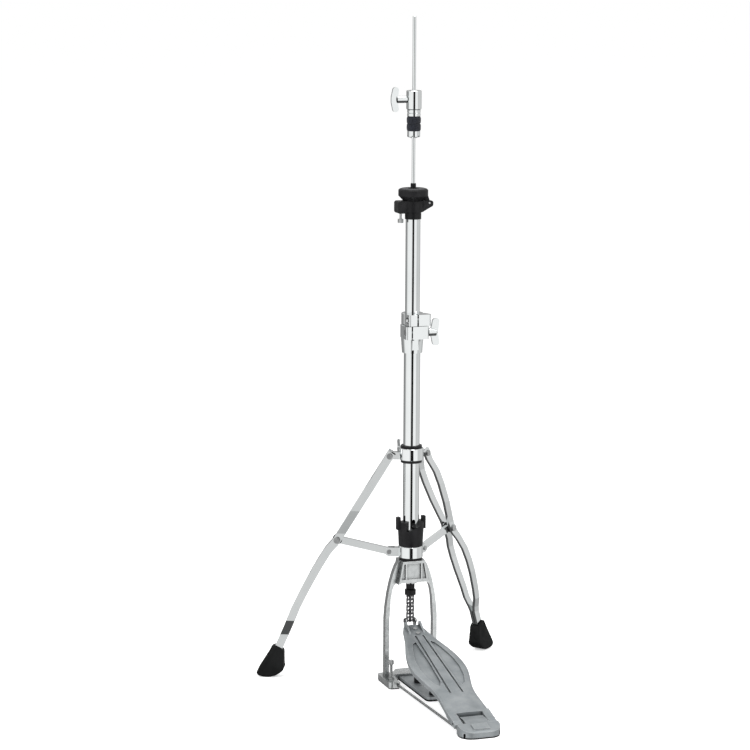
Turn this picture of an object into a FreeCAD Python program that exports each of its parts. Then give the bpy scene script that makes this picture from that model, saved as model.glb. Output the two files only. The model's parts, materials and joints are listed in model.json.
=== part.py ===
import FreeCAD, Part
import math
import os
import Sketcher

# Hi-hat stand, in millimetres. Z is up, the column is the Z axis, the heel lies towards -Y.
# Every driving size is one row of the sheet. Parts are drawn from those rows by formula.
SIZES = [
    # clearances
    ("running_gap", 0.06, "radial gap of a shaft that turns or slides in its hole"),
    ("tube_gap", 0.1, "radial gap of a ring that slides or turns on a tube"),
    ("seat_gap", 0.02, "radial gap of a piece that is fixed in its hole"),
    ("side_gap", 0.35, "gap between faces that move past one another"),
    # column
    ("rod_radius", 3, "pull rod"),
    ("rod_top", 1157, "top of the pull rod"),
    ("rod_foot", 161.9, "foot of the pull rod, inside the coupler"),
    ("rod_split", 402, "height where the two pull rods meet"),
    ("lower_tube_radius", 14.3, "lower tube, outside"),
    ("telescope_gap", 0.3, "radial gap of the upper tube inside the lower one"),
    ("tube_wall", 1.3, "wall of both tubes"),
    ("lower_tube_foot", 190, "foot of the lower tube"),
    ("lower_tube_top", 608, "top of the lower tube"),
    ("upper_tube_foot", 420, "foot of the upper tube"),
    ("upper_tube_top", 838, "top of the upper tube"),
    # arch
    ("arch_top", 218, "top of the arch casting"),
    ("arch_half_width", 47.5, "outside of a post from the middle"),
    ("arch_opening_top", 180, "top of the opening under the arch"),
    ("arch_opening_half", 40.4, "inside of a post from the middle"),
    ("arch_depth", 13, "front to back depth of a post"),
    ("block_depth", 38, "front to back depth of the top block"),
    ("panel_depth", 3.2, "recess of the top block's panels"),
    ("pad_thickness", 2, "rubber under the casting"),
    ("lobe_top", 12, "top of the casting's feet"),
    ("lobe_half_width", 54, "outside of a foot from the middle"),
    ("bush_radius", 7.5, "rod bush under the arch"),
    ("spur_x", 43, "spur bolt from the middle"),
    ("spur_y", -25, "spur bolt, front to back"),
    ("spur_radius", 2.75, "spur bolt"),
    # pedal
    ("hinge_y", -317, "heel hinge, front to back"),
    ("hinge_z", 15.5, "heel hinge height"),
    ("board_half_width", 48, "widest half width of the footboard"),
    ("toe_reach", 12, "toe pin ahead of the footboard's tip"),
    ("toe_pin_rise", 7.7, "toe pin above the footboard's hinge line"),
    ("board_wall", 4, "wall of the footboard"),
    ("board_top", 4.5, "footboard rim above the hinge axis"),
    ("hinge_pin_radius", 2.5, "heel hinge pin"),
    ("tongue_half_width", 20, "half width of the heel plate's tongue"),
    ("heel_half_width", 36, "half width of the heel plate"),
    ("wire_radius", 2.25, "radius rod wire"),
    ("wire_z", 6, "radius rod height"),
    # chain
    ("chain_pitch", 6.35, "pin to pin"),
    ("chain_top", 158, "top pin of the chain"),
    ("chain_pin_radius", 1.1, "chain pin"),
    ("toe_pin_radius", 1.6, "chain's bottom pin"),
    ("toe_slack", 1.3, "play of the bottom pin in the toe bracket"),
    ("plate_thickness", 0.75, "chain plate"),
    # legs
    ("left_leg_angle", 155.9, "left leg about the column in degrees"),
    ("right_leg_angle", 38.6, "right leg about the column in degrees"),
    ("leg_pivot_r", 36.5, "leg pivot from the column"),
    ("leg_pivot_z", 401.5, "leg pivot height"),
    ("brace_pivot_r", 37, "brace pivot from the column"),
    ("brace_pivot_z", 231, "brace pivot height"),
    ("pinch_r", 128, "leg and brace joint from the column"),
    ("pinch_z", 250, "leg and brace joint height"),
    ("foot_r", 258, "reference of a foot from the column"),
    ("foot_height", 57, "height of a rubber foot"),
    ("foot_half_width", 13, "half width of a rubber foot at the sole"),
    ("bar_width", 14, "leg bar across its face"),
    ("bar_thickness", 5, "leg bar through its face"),
    ("brace_width", 12.5, "brace across its face"),
    ("brace_thickness", 6, "brace through its face"),
    ("leg_pin_radius", 3, "leg rivets"),
    ("collar_radius", 21.3, "leg collar and swivel collar"),
    # tension adjuster
    ("perch_z", 280, "height of the spring perch pins"),
    ("perch_pin_radius", 3, "spring perch pins"),
    ("ramp_rise", 16, "rise of each ramp of the tension cup"),
    ("ramp_angle", 100, "angle of each ramp of the tension cup in degrees"),
    ("spring_radius", 8.6, "return spring, mean"),
    ("spring_wire", 2, "return spring wire"),
    ("spring_top", 385, "top of the return spring"),
    # clamp and memory lock
    ("clamp_foot", 583, "bottom of the height clamp"),
    ("clamp_top", 632, "top of the height clamp"),
    ("clamp_radius", 20.5, "height clamp"),
    ("clamp_bolt_y", -26, "clamp bolt, front to back"),
    ("clamp_bolt_z", 621, "clamp bolt height"),
    ("lock_radius", 19, "memory lock ring"),
    ("lock_height", 19.5, "memory lock ring"),
    # seat
    ("seat_top", 866, "top of the bottom cymbal seat"),
    ("seat_radius", 25.5, "seat cup"),
    ("seat_pivot_x", 26, "seat pivot from the column"),
    ("seat_pivot_z", 841, "seat pivot height"),
    ("tilt_screw_x", -22.5, "tilt screw from the column"),
    ("sleeve_radius", 4.7, "post of the bottom cymbal"),
    ("sleeve_top", 874.5, "top of the post"),
    # clutch
    ("clutch_foot", 1000, "bottom of the clutch body"),
    ("clutch_top", 1032, "top of the clutch body"),
    ("clutch_radius", 13, "clutch body"),
    ("clutch_tube_radius", 5, "threaded tube of the clutch"),
    ("clutch_screw_z", 1017, "clutch wing screw height"),
]

doc = FreeCAD.newDocument("hi_hat_stand")
sheet = doc.addObject("Spreadsheet::Sheet", "Sizes")


class Size:
    """A number and the sheet formula that gives it."""

    def __init__(self, number, formula):
        self.number = float(number)
        self.formula = formula

    def __add__(self, other):
        other = as_size(other)
        return Size(self.number + other.number, "(%s + %s)" % (self.formula, other.formula))

    def __sub__(self, other):
        other = as_size(other)
        return Size(self.number - other.number, "(%s - %s)" % (self.formula, other.formula))

    def __mul__(self, other):
        other = as_size(other)
        return Size(self.number * other.number, "(%s * %s)" % (self.formula, other.formula))

    def __truediv__(self, other):
        other = as_size(other)
        return Size(self.number / other.number, "(%s / %s)" % (self.formula, other.formula))

    def __neg__(self):
        return as_size(0) - self

    def __radd__(self, other):
        return as_size(other) + self

    def __rsub__(self, other):
        return as_size(other) - self

    def __rmul__(self, other):
        return as_size(other) * self


def as_size(value):
    """Give a plain number the form of a Size."""
    if isinstance(value, Size):
        return value
    if value < 0:
        return Size(value, "(0 - %.6f)" % -value)
    return Size(value, "%.6f" % value)


def cosine(angle):
    return Size(math.cos(math.radians(angle.number)), "cos(%s)" % angle.formula)


def sine(angle):
    return Size(math.sin(math.radians(angle.number)), "sin(%s)" % angle.formula)


def fill_sheet():
    """Write each size, its alias and its note, and return them by name."""
    sizes = {}
    for row, (name, value, note) in enumerate(SIZES, start=1):
        sheet.set("A%d" % row, name)
        sheet.set("B%d" % row, "%g" % value)
        sheet.set("C%d" % row, note)
        sheet.setAlias("B%d" % row, name)
        sizes[name] = Size(value, "Sizes.%s" % name)
    doc.recompute()
    return sizes


def add_derived():
    """Sizes that follow from others: the tube that slides in the other, and the board's slope."""
    S["upper_tube_radius"] = S["lower_tube_radius"] - S["tube_wall"] - S["telescope_gap"]
    run = -S["hinge_y"]
    rise = S["chain_top"] - S["chain_pitch"] * 8 - S["hinge_z"]
    span = math.hypot(run.number, rise.number)
    angle = math.atan2(rise.number, run.number) - math.asin(S["toe_pin_rise"].number / span)
    formula = "(atan(%s / %s) - asin(%s / sqrt(%s ^ 2 + %s ^ 2)))" % (
        rise.formula, run.formula, S["toe_pin_rise"].formula, run.formula, rise.formula)
    S["board_slope"] = Size(math.degrees(angle), formula)
    S["toe_pin_y"] = run * cosine(S["board_slope"]) + rise * sine(S["board_slope"])
    S["board_length"] = S["toe_pin_y"] - S["toe_reach"]


S = fill_sheet()
add_derived()


def new_body(label):
    body = doc.addObject("PartDesign::Body", label)
    body.Label = label
    return body


def bind(target, prop, value):
    """Drive one property of an object from the sheet."""
    target.setExpression(prop, as_size(value).formula)


def place(body, x, y, z, axis, angle):
    """Put a body down at a point, turned about an axis."""
    angle = as_size(angle)
    turn = FreeCAD.Rotation(FreeCAD.Vector(*axis), angle.number)
    spots = [as_size(value) for value in (x, y, z)]
    body.Placement = FreeCAD.Placement(FreeCAD.Vector(*[s.number for s in spots]), turn)
    for letter, spot in zip("xyz", spots):
        bind(body, "Placement.Base.%s" % letter, spot)
    bind(body, "Placement.Rotation.Angle", angle)


def turn_about_column(body, angle):
    place(body, 0, 0, 0, (0, 0, 1), angle)


def hold(sketch, geometry, point, x, y):
    """Hold one sketch point at two formulas."""
    for kind, value in (("DistanceX", x), ("DistanceY", y)):
        index = sketch.addConstraint(Sketcher.Constraint(kind, geometry, point, value.number))
        sketch.setExpression("Constraints[%d]" % index, value.formula)


def draw_outline(sketch, points):
    """Draw a closed outline of straight lines through the points."""
    points = [(as_size(x), as_size(y)) for x, y in points]
    count = len(points)
    first = sketch.GeometryCount
    spots = [FreeCAD.Vector(x.number, y.number, 0) for x, y in points]
    for i in range(count):
        sketch.addGeometry(Part.LineSegment(spots[i], spots[(i + 1) % count]), False)
    for i in range(count):
        after = first + (i + 1) % count
        sketch.addConstraint(Sketcher.Constraint("Coincident", first + i, 2, after, 1))
    for i, (x, y) in enumerate(points):
        hold(sketch, first + i, 1, x, y)


def draw_disc(sketch, x, y, radius):
    x, y, radius = as_size(x), as_size(y), as_size(radius)
    centre = FreeCAD.Vector(x.number, y.number, 0)
    ring = sketch.addGeometry(Part.Circle(centre, FreeCAD.Vector(0, 0, 1), radius.number), False)
    index = sketch.addConstraint(Sketcher.Constraint("Radius", ring, radius.number))
    sketch.setExpression("Constraints[%d]" % index, radius.formula)
    hold(sketch, ring, 3, x, y)


def draw_capsule(sketch, x1, y1, x2, y2, radius):
    """Draw two half circles joined by straight sides."""
    x1, y1, x2, y2, radius = [as_size(value) for value in (x1, y1, x2, y2, radius)]
    heading = math.atan2(y2.number - y1.number, x2.number - x1.number)
    across = FreeCAD.Vector(-math.sin(heading), math.cos(heading), 0) * radius.number
    start = FreeCAD.Vector(x1.number, y1.number, 0)
    finish = FreeCAD.Vector(x2.number, y2.number, 0)
    up = FreeCAD.Vector(0, 0, 1)
    quarter = math.pi / 2
    near = Part.ArcOfCircle(Part.Circle(start, up, radius.number),
                            heading + quarter, heading + 3 * quarter)
    far = Part.ArcOfCircle(Part.Circle(finish, up, radius.number),
                           heading - quarter, heading + quarter)
    one = sketch.addGeometry(near, False)
    two = sketch.addGeometry(Part.LineSegment(start - across, finish - across), False)
    three = sketch.addGeometry(far, False)
    four = sketch.addGeometry(Part.LineSegment(finish + across, start + across), False)
    for this, other in ((one, two), (two, three), (three, four), (four, one)):
        sketch.addConstraint(Sketcher.Constraint("Tangent", this, 2, other, 1))
    hold(sketch, one, 3, x1, y1)
    hold(sketch, three, 3, x2, y2)
    index = sketch.addConstraint(Sketcher.Constraint("Radius", one, radius.number))
    sketch.setExpression("Constraints[%d]" % index, radius.formula)


def outline(*points):
    return (draw_outline, [list(points)])


def box(x1, x2, y1, y2):
    return outline((x1, y1), (x2, y1), (x2, y2), (x1, y2))


def disc(x, y, radius):
    return (draw_disc, [x, y, radius])


def capsule(x1, y1, x2, y2, radius):
    return (draw_capsule, [x1, y1, x2, y2, radius])


def hexagon(x, y, radius):
    """A hexagon with two corners on the sketch's upright line."""
    flat = radius * 0.866025
    half = radius * 0.5
    return outline((x, y - radius), (x + flat, y - half), (x + flat, y + half),
                   (x, y + radius), (x - flat, y + half), (x - flat, y - half))


def mirrored(points):
    """The same outline on the other side of the upright line."""
    return [(-as_size(x), y) for x, y in reversed(points)]


def add_sketch(body, name, plane, at, shapes, turn=None):
    """Draw shapes on one of the body's planes, moved along its normal and turned about Z."""
    sketch = body.newObject("Sketcher::SketchObject", name)
    support = [item for item in body.Origin.OriginFeatures if item.Role == plane][0]
    sketch.AttachmentSupport = (support, "")
    sketch.MapMode = "FlatFace"
    if turn is not None:
        twist = FreeCAD.Rotation(FreeCAD.Vector(0, 1, 0), turn.number)
        sketch.AttachmentOffset = FreeCAD.Placement(FreeCAD.Vector(), twist)
        bind(sketch, "AttachmentOffset.Rotation.Angle", turn)
    bind(sketch, "AttachmentOffset.Base.z", at)
    for draw, values in shapes:
        draw(sketch, *values)
    return sketch


def grow(body, name, plane, low, high, *shapes):
    """Add the shapes from one level to the other along the plane's axis."""
    low, high = as_size(low), as_size(high)
    at = -high if plane == "XZ_Plane" else low
    sketch = add_sketch(body, name + "_sketch", plane, at, shapes)
    pad = body.newObject("PartDesign::Pad", name)
    pad.Profile = sketch
    bind(pad, "Length", high - low)
    sketch.Visibility = False
    return pad


def cut(body, name, plane, low, high, *shapes):
    """Remove the shapes from one level to the other along the plane's axis."""
    low, high = as_size(low), as_size(high)
    at = -low if plane == "XZ_Plane" else high
    sketch = add_sketch(body, name + "_sketch", plane, at, shapes)
    pocket = body.newObject("PartDesign::Pocket", name)
    pocket.Profile = sketch
    bind(pocket, "Length", high - low)
    sketch.Visibility = False
    return pocket


def grow_across(body, name, turn, width, *shapes):
    """Add a shape of radial and upright sizes, spread evenly to both sides of its plane."""
    sketch = add_sketch(body, name + "_sketch", "XZ_Plane", as_size(0), shapes, turn)
    pad = body.newObject("PartDesign::Pad", name)
    pad.Profile = sketch
    pad.SideType = "Symmetric"
    bind(pad, "Length", width)
    sketch.Visibility = False
    return pad


def cut_across(body, name, turn, width, *shapes):
    """Remove a shape of radial and upright sizes, spread evenly to both sides of its plane."""
    sketch = add_sketch(body, name + "_sketch", "XZ_Plane", as_size(0), shapes, turn)
    pocket = body.newObject("PartDesign::Pocket", name)
    pocket.Profile = sketch
    pocket.SideType = "Symmetric"
    bind(pocket, "Length", width)
    sketch.Visibility = False
    return pocket


def spin(body, name, points):
    """Add a turned shape about the column axis from radius and height pairs."""
    sketch = add_sketch(body, name + "_sketch", "XZ_Plane", as_size(0), [outline(*points)])
    turned = body.newObject("PartDesign::Revolution", name)
    turned.Profile = sketch
    turned.ReferenceAxis = (sketch, ["V_Axis"])
    turned.Angle = 360
    sketch.Visibility = False
    return turned


def turned_part(label, points):
    body = new_body(label)
    spin(body, label + "_turned", points)
    return body


def ring_part(label, inner, outer, low, high):
    """A plain ring about the column."""
    return turned_part(label, [(inner, low), (outer, low), (outer, high), (inner, high)])


def along(axis):
    """Pick straight edges that run along an axis."""
    wanted = FreeCAD.Vector(*axis)

    def picks(edge):
        if edge.Curve.TypeId != "Part::GeomLine":
            return False
        start, finish = edge.Vertexes[0].Point, edge.Vertexes[-1].Point
        run = finish - start
        return run.Length > 0.5 and abs(run.normalize().dot(wanted)) > 0.999
    return picks


def soften(body, name, radius, *tests):
    """Round the edges that pass every test."""
    doc.recompute()
    tip = body.Tip
    names = []
    for number, edge in enumerate(tip.Shape.Edges, start=1):
        if all(test(edge) for test in tests):
            names.append("Edge%d" % number)
    fillet = body.newObject("PartDesign::Fillet", name)
    fillet.Base = (tip, names)
    bind(fillet, "Radius", radius)
    return fillet


def centre_of(edge):
    return edge.CenterOfMass


def make_arch_frame():
    """Cast arch that carries the column, with its two feet and the bridge behind the chain."""
    body = new_body("arch_frame")
    pad, top = S["pad_thickness"], S["arch_top"]
    wide, inner = S["arch_half_width"], S["arch_opening_half"]
    opening = S["arch_opening_top"]
    outer = [(wide, pad), (wide, 115), (wide - 1.5, 135), (wide - 5, 160), (wide - 9.5, opening + 1),
             (wide - 14, top - 22), (wide - 19, top - 9), (wide - 25, top)]
    half_depth = S["arch_depth"] / 2
    grow(body, "arch", "XZ_Plane", -half_depth, half_depth, outline(*(outer + mirrored(outer))))
    deep = S["block_depth"] / 2
    block = [(wide - 19, opening - 3), (wide - 21.5, opening + 4), (wide - 27.5, top)]
    grow(body, "block", "XZ_Plane", -deep, deep, outline(*(block + mirrored(block))))
    hole = [(inner, pad - 1), (inner, 110), (inner - 2.4, 150), (inner - 5.2, opening - 14),
            (inner - 8, opening - 7), (inner - 12, opening - 2.4), (inner - 18, opening)]
    cut(body, "opening", "XZ_Plane", -deep - 1, deep + 1, outline(*(hole + mirrored(hole))))
    for side in (-1, 1):
        near, far = inner - 6.4, S["lobe_half_width"]
        tag = "left" if side < 0 else "right"
        spots = [(side * near, -48), (side * far, -48), (side * far, 20), (side * near, 20)]
        grow(body, "foot_" + tag, "XY_Plane", pad, S["lobe_top"], outline(*spots))
    grow(body, "bridge", "XY_Plane", pad, S["lobe_top"] - 1,
         outline((-near - 1, 4), (near + 1, 4), (near + 1, 18), (22, 24), (14, 38), (-14, 38),
                 (-22, 24), (-near - 1, 18)))
    side_panel = [(15.2, opening + 6), (wide - 24.5, opening + 6), (wide - 29.3, top - 4.5),
                  (15.2, top - 4.5)]
    panels = [box(-12.8, 12.8, opening + 6, top - 4.5), outline(*side_panel),
              outline(*mirrored(side_panel))]
    floor = deep - S["panel_depth"]
    cut(body, "front_panels", "XZ_Plane", -deep - 1, -floor, *panels)
    cut(body, "back_panels", "XZ_Plane", floor, deep + 1, *panels)
    grow(body, "collar", "XY_Plane", opening - 4, opening + 2, disc(0, 0, S["bush_radius"] + 4))
    cut(body, "bush_hole", "XY_Plane", opening - 20, top, disc(0, 0, S["bush_radius"] + S["seat_gap"]))
    cut(body, "tube_hole", "XY_Plane", S["lower_tube_foot"], top + 1,
        disc(0, 0, S["lower_tube_radius"] + S["seat_gap"]))
    cut(body, "spur_holes", "XY_Plane", 0, S["lobe_top"] + 1,
        disc(S["spur_x"], S["spur_y"], S["spur_radius"] + S["running_gap"]),
        disc(-S["spur_x"], S["spur_y"], S["spur_radius"] + S["running_gap"]))
    wire = S["wire_radius"] + 0.65
    cut(body, "wire_holes", "XZ_Plane", -49, -32, disc(inner - 3.4, S["wire_z"], wire),
        disc(-inner + 3.4, S["wire_z"], wire))
    soften(body, "foot_corners", 7, along((0, 0, 1)),
           lambda edge: abs(centre_of(edge).x) > far.number - 2 or centre_of(edge).y > 37)


def make_base_pad():
    """Rubber under both feet and the bridge."""
    body = new_body("base_pad")
    far, top = S["lobe_half_width"] - 1, S["pad_thickness"] - 0.1
    inner = S["arch_opening_half"] - 5
    grow(body, "pad", "XY_Plane", 0, top,
         outline((-far, -47), (-inner, -47), (-inner, 5), (inner, 5), (inner, -47), (far, -47),
                 (far, 19), (21, 23), (13, 37), (-13, 37), (-21, 23), (-far, 19)))
    cut(body, "spur_holes", "XY_Plane", -1, 3, disc(S["spur_x"], S["spur_y"], 5),
        disc(-S["spur_x"], S["spur_y"], 5))
    soften(body, "pad_corners", 6, along((0, 0, 1)), lambda edge: abs(centre_of(edge).x) > 50)


def make_guide_bush():
    body = new_body("guide_bush")
    inner = S["rod_radius"] + S["running_gap"]
    low, high = S["arch_opening_top"] - 16, S["lower_tube_foot"] - 0.4
    spin(body, "bush", [(inner, low), (S["bush_radius"] - 1.5, low), (S["bush_radius"], low + 1.5),
                        (S["bush_radius"], high), (inner, high)])


def make_spur(label, side):
    """Knurled bolt that bites into the carpet, with its point just above the floor."""
    body = new_body(label)
    x = side * S["spur_x"]
    radius = S["spur_radius"]
    profile = [(0, 0.4), (radius, 4), (radius, 38), (4.75, 38.6), (4.75, 45), (4, 46.2), (0, 46.2)]
    spin(body, label + "_turned", profile)
    cut(body, label + "_slot", "XZ_Plane", -6, 6, box(-0.7, 0.7, 44.4, 48))
    place(body, x, S["spur_y"], 0, (0, 0, 1), 0)


def make_spur_nuts():
    """Lock nuts of both spur bolts."""
    body = new_body("spur_nuts")
    low = S["lobe_top"] + 0.05
    shapes = []
    for side in (-1, 1):
        shapes.append(hexagon(side * S["spur_x"], S["spur_y"], 5.4))
        shapes.append(disc(side * S["spur_x"], S["spur_y"], S["spur_radius"] + S["running_gap"]))
    grow(body, "nuts", "XY_Plane", low, low + 3.6, *shapes)


def make_radius_rod():
    """Bent wire that ties the arch to the heel plate."""
    body = new_body("radius_rod")
    near, z = S["arch_opening_half"] - 3.4, S["wire_z"]
    side = [(near, -33), (near - 10, S["hinge_y"] - 22)]
    path = [(as_size(x), as_size(y)) for x, y in side + mirrored(side)]
    spine = add_sketch(body, "wire_path", "XY_Plane", z, [])
    for number, (start, finish) in enumerate(zip(path, path[1:])):
        ends = [FreeCAD.Vector(x.number, y.number, 0) for x, y in (start, finish)]
        line = spine.addGeometry(Part.LineSegment(*ends), False)
        hold(spine, line, 1, *start)
        if number > 0:
            spine.addConstraint(Sketcher.Constraint("Coincident", line - 1, 2, line, 1))
    hold(spine, line, 2, *path[-1])
    section = add_sketch(body, "wire_section", "XZ_Plane", as_size(33),
                         [disc(near, z, S["wire_radius"])])
    pipe = body.newObject("PartDesign::AdditivePipe", "wire")
    pipe.Profile = section
    pipe.Spine = (spine, [])
    pipe.Transition = "Right corner"
    spine.Visibility = False
    section.Visibility = False


def make_stabiliser():
    """Flat plate under the board that carries two height screws, with its rubber."""
    plate = new_body("stabiliser_plate")
    low = S["pad_thickness"] + 0.5
    grow(plate, "plate", "XY_Plane", low, low + 4.5,
         outline((-18, 3.6), (-16, -136), (16, -136), (18, 3.6)))
    soften(plate, "plate_corners", 9, along((0, 0, 1)), lambda edge: centre_of(edge).y < -100)
    cut(plate, "screw_holes", "XY_Plane", 0, 9, disc(0, -42, 3.1), disc(0, -120, 3.1))
    rubber = new_body("stabiliser_rubber")
    grow(rubber, "rubber", "XY_Plane", 0, low - 0.1,
         outline((-18.5, 3.4), (-16.5, -137), (16.5, -137), (18.5, 3.4)))
    soften(rubber, "rubber_corners", 9, along((0, 0, 1)), lambda edge: centre_of(edge).y < -100)
    knobs = new_body("stabiliser_knobs")
    grow(knobs, "shanks", "XY_Plane", low + 0.1, low + 6, disc(0, -42, 3), disc(0, -120, 3))
    grow(knobs, "heads", "XY_Plane", low + 4.6, low + 13, hexagon(0, -42, 6.5), hexagon(0, -120, 6.5))


def make_heel_plate():
    """Cast heel rest with the tongue that carries the hinge."""
    body = new_body("heel_plate")
    y, wide, tongue = S["hinge_y"], S["heel_half_width"], S["tongue_half_width"]
    side = [(y - 47, 2.5), (y - 47, 11), (y - 44, 13), (y - 20, 19.5), (y - 17, 19.5), (y - 17, 2.5)]
    grow(body, "heel", "YZ_Plane", -wide, wide, outline(*side))
    soften(body, "heel_front", 22, along((0, 0, 1)), lambda edge: centre_of(edge).y < y.number - 23)
    arm = [(y - 18, 4), (y - 18, 19.5), (y - 5, 21.8), (y + 12, 21.8), (y + 18, 18), (y + 18, 10),
           (y + 6, 6)]
    grow(body, "tongue", "YZ_Plane", -tongue, tongue, outline(*arm))
    cut(body, "hollow", "YZ_Plane", -wide + 4, wide - 4,
        outline((y - 41, 2), (y - 41, 9), (y - 21, 14.5), (y - 21, 2)))
    notch = S["arch_opening_half"] - 9.4
    cut(body, "wire_notch", "YZ_Plane", -notch, notch, box(y - 26, y - 16.9, 2, 9))
    grow(body, "front_rib", "YZ_Plane", -12, 12, box(y - 42, y - 38, 3, 12.5))
    cut(body, "pin_hole", "YZ_Plane", -wide, wide,
        disc(y, S["hinge_z"], S["hinge_pin_radius"] + S["seat_gap"]))
    soften(body, "tongue_corners", 7, along((0, 0, 1)), lambda edge: centre_of(edge).y > y.number + 15)
    raised = [(y - 40.4, 12), (y - 39.8, 15.6), (y - 24.2, 19.8), (y - 23.6, 16)]
    grow(body, "raised_pad", "YZ_Plane", -14, 14, outline(*raised))
    rubber = new_body("heel_rubber")
    grow(rubber, "rubber", "XY_Plane", 0, 2.4,
         outline((-wide + 1, y - 18), (-wide + 1, y - 46), (wide - 1, y - 46), (wide - 1, y - 18)))
    soften(rubber, "rubber_corners", 21, along((0, 0, 1)),
           lambda edge: centre_of(edge).y < y.number - 23)


def make_hinge_pins():
    """Two pins pressed into the tongue; the board's arms turn on them."""
    body = new_body("hinge_pins")
    y, radius = S["hinge_y"], S["hinge_pin_radius"]
    for side, low, high in (("left", -36, -8), ("right", 8, 36)):
        grow(body, side + "_pin", "YZ_Plane", low, high, disc(y, S["hinge_z"], radius))


BOARD_SECTIONS = [(22, 37 / 48), (60, 34.5 / 48), (95, 34.3 / 48), (134, 42 / 48), (168, 1),
                  (205, 46 / 48), (236, 39 / 48), (268, 29 / 48), (298, 21.5 / 48), (318, 15.5 / 48)]


def make_footboard():
    """Hooded cast pedal, drawn flat and laid down at its rest slope."""
    body = new_body("footboard")
    top, wall, tip = S["board_top"], S["board_wall"], S["board_length"]
    sketches = []
    for number, (share, width) in enumerate(BOARD_SECTIONS):
        half = S["board_half_width"] * width
        y = share if number == 0 else tip * (share / 318)
        outer = [(half, top - 9), (half, top - 2), (half * 0.9, top - 0.3), (half * 0.5, top + 1),
                 (half * 0.2, top + 1.5)]
        thin = half - wall
        inner = [(half * 0.2, top + 1.5 - wall), (half * 0.5, top + 1 - wall),
                 (thin * 0.9, top - 0.3 - wall), (thin, top - 4.6), (thin, top - 9)]
        across = [(-x, z) for x, z in reversed(outer)]
        back = [(-x, z) for x, z in reversed(inner)]
        points = outer + across + back + inner
        sketches.append(add_sketch(body, "section_%d" % number, "XZ_Plane", -y, [outline(*points)]))
    loft = body.newObject("PartDesign::AdditiveLoft", "hood")
    loft.Profile = sketches[0]
    loft.Sections = sketches[1:]
    loft.Ruled = False
    arm_low, arm_high = S["tongue_half_width"] + 2.9, S["board_half_width"] * (37 / 48)
    arm = [(-9, top - 9), (-12.5, top - 4), (-11, top - 0.5), (-7, top), (30, top), (30, top - 9)]
    for tag, low, high in (("left", -arm_high, -arm_low), ("right", arm_low, arm_high)):
        grow(body, "arm_" + tag, "YZ_Plane", low, high, outline(*arm))
        grow(body, "knuckle_" + tag, "YZ_Plane", low, high, disc(0, 0, 5.2))
    grow(body, "front_web", "YZ_Plane", -arm_low - 1, arm_low + 1, box(22, 25.4, top - 11, top - 0.8))
    for sketch in sketches:
        sketch.Visibility = False
    for tag, side in (("left", -1), ("right", 1)):
        low = [(side * 9.2, 86), (side * 12.8, 86), (side * 8.6, tip - 38), (side * 5.4, tip - 38)]
        cut(body, "groove_" + tag, "XY_Plane", top - 0.9, top + 4, outline(*low))
        eye = [(14.8, 124), (20, 111), (27, 119), (33, 142), (36, 170), (34, 202), (28, 230),
               (20.5, 254), (13.4, 260), (12.4, 190)]
        eye = [(side * x, tip * (y / 318)) for x, y in eye]
        cut(body, "eye_" + tag, "XY_Plane", top - 1.5, top + 4, outline(*eye))
        near, out = ordered(side * 11.3, side * 14.6)
        horn = [(tip - 40, top - 2), (tip + 1, top - 6), (tip + 1.5, top + 7.5), (tip - 1.5, top + 8.5)]
        grow(body, "horn_" + tag, "YZ_Plane", near, out, outline(*horn))
    cut(body, "pin_hole", "YZ_Plane", -60, 60,
        disc(0, 0, S["hinge_pin_radius"] + S["running_gap"]))
    cut(body, "rivet_holes", "XY_Plane", top - 6, top + 6, disc(0, tip - 31, 2.2), disc(0, tip - 15, 2.2))
    place(body, 0, S["hinge_y"], S["hinge_z"], (1, 0, 0), S["board_slope"])


def make_toe_bracket():
    """Steel strip under the toe whose two ears stand up beside the chain."""
    body = new_body("toe_bracket")
    y, z = S["toe_pin_y"], S["toe_pin_rise"]
    top = S["board_top"] + 1.5 - S["board_wall"] - 0.1
    inside = S["plate_thickness"] * 9 + S["side_gap"] + 0.3
    outside = inside + 2
    grow(body, "strip", "XY_Plane", top - 3.4, top - 1.6,
         outline((-8, y - 52), (8, y - 52), (outside, y - 11), (outside, y - 4), (-outside, y - 4),
                 (-outside, y - 11)))
    for tag, low, high in (("left", -outside, -inside), ("right", inside, outside)):
        grow(body, "ear_" + tag, "YZ_Plane", low, high,
             capsule(y - 1, top + 0.2, y, z, 5.6))
    cut(body, "pin_holes", "YZ_Plane", -20, 20, disc(y, z, S["toe_pin_radius"] + S["toe_slack"]))
    tip = S["board_length"]
    grow(body, "shanks", "XY_Plane", top - 2, S["board_top"] + 2, disc(0, tip - 31, 2.15),
         disc(0, tip - 15, 2.15))
    grow(body, "heads", "XY_Plane", S["board_top"] + 1.7, S["board_top"] + 3, disc(0, tip - 31, 3.8),
         disc(0, tip - 15, 3.8))
    place(body, 0, S["hinge_y"], S["hinge_z"], (1, 0, 0), S["board_slope"])


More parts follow.
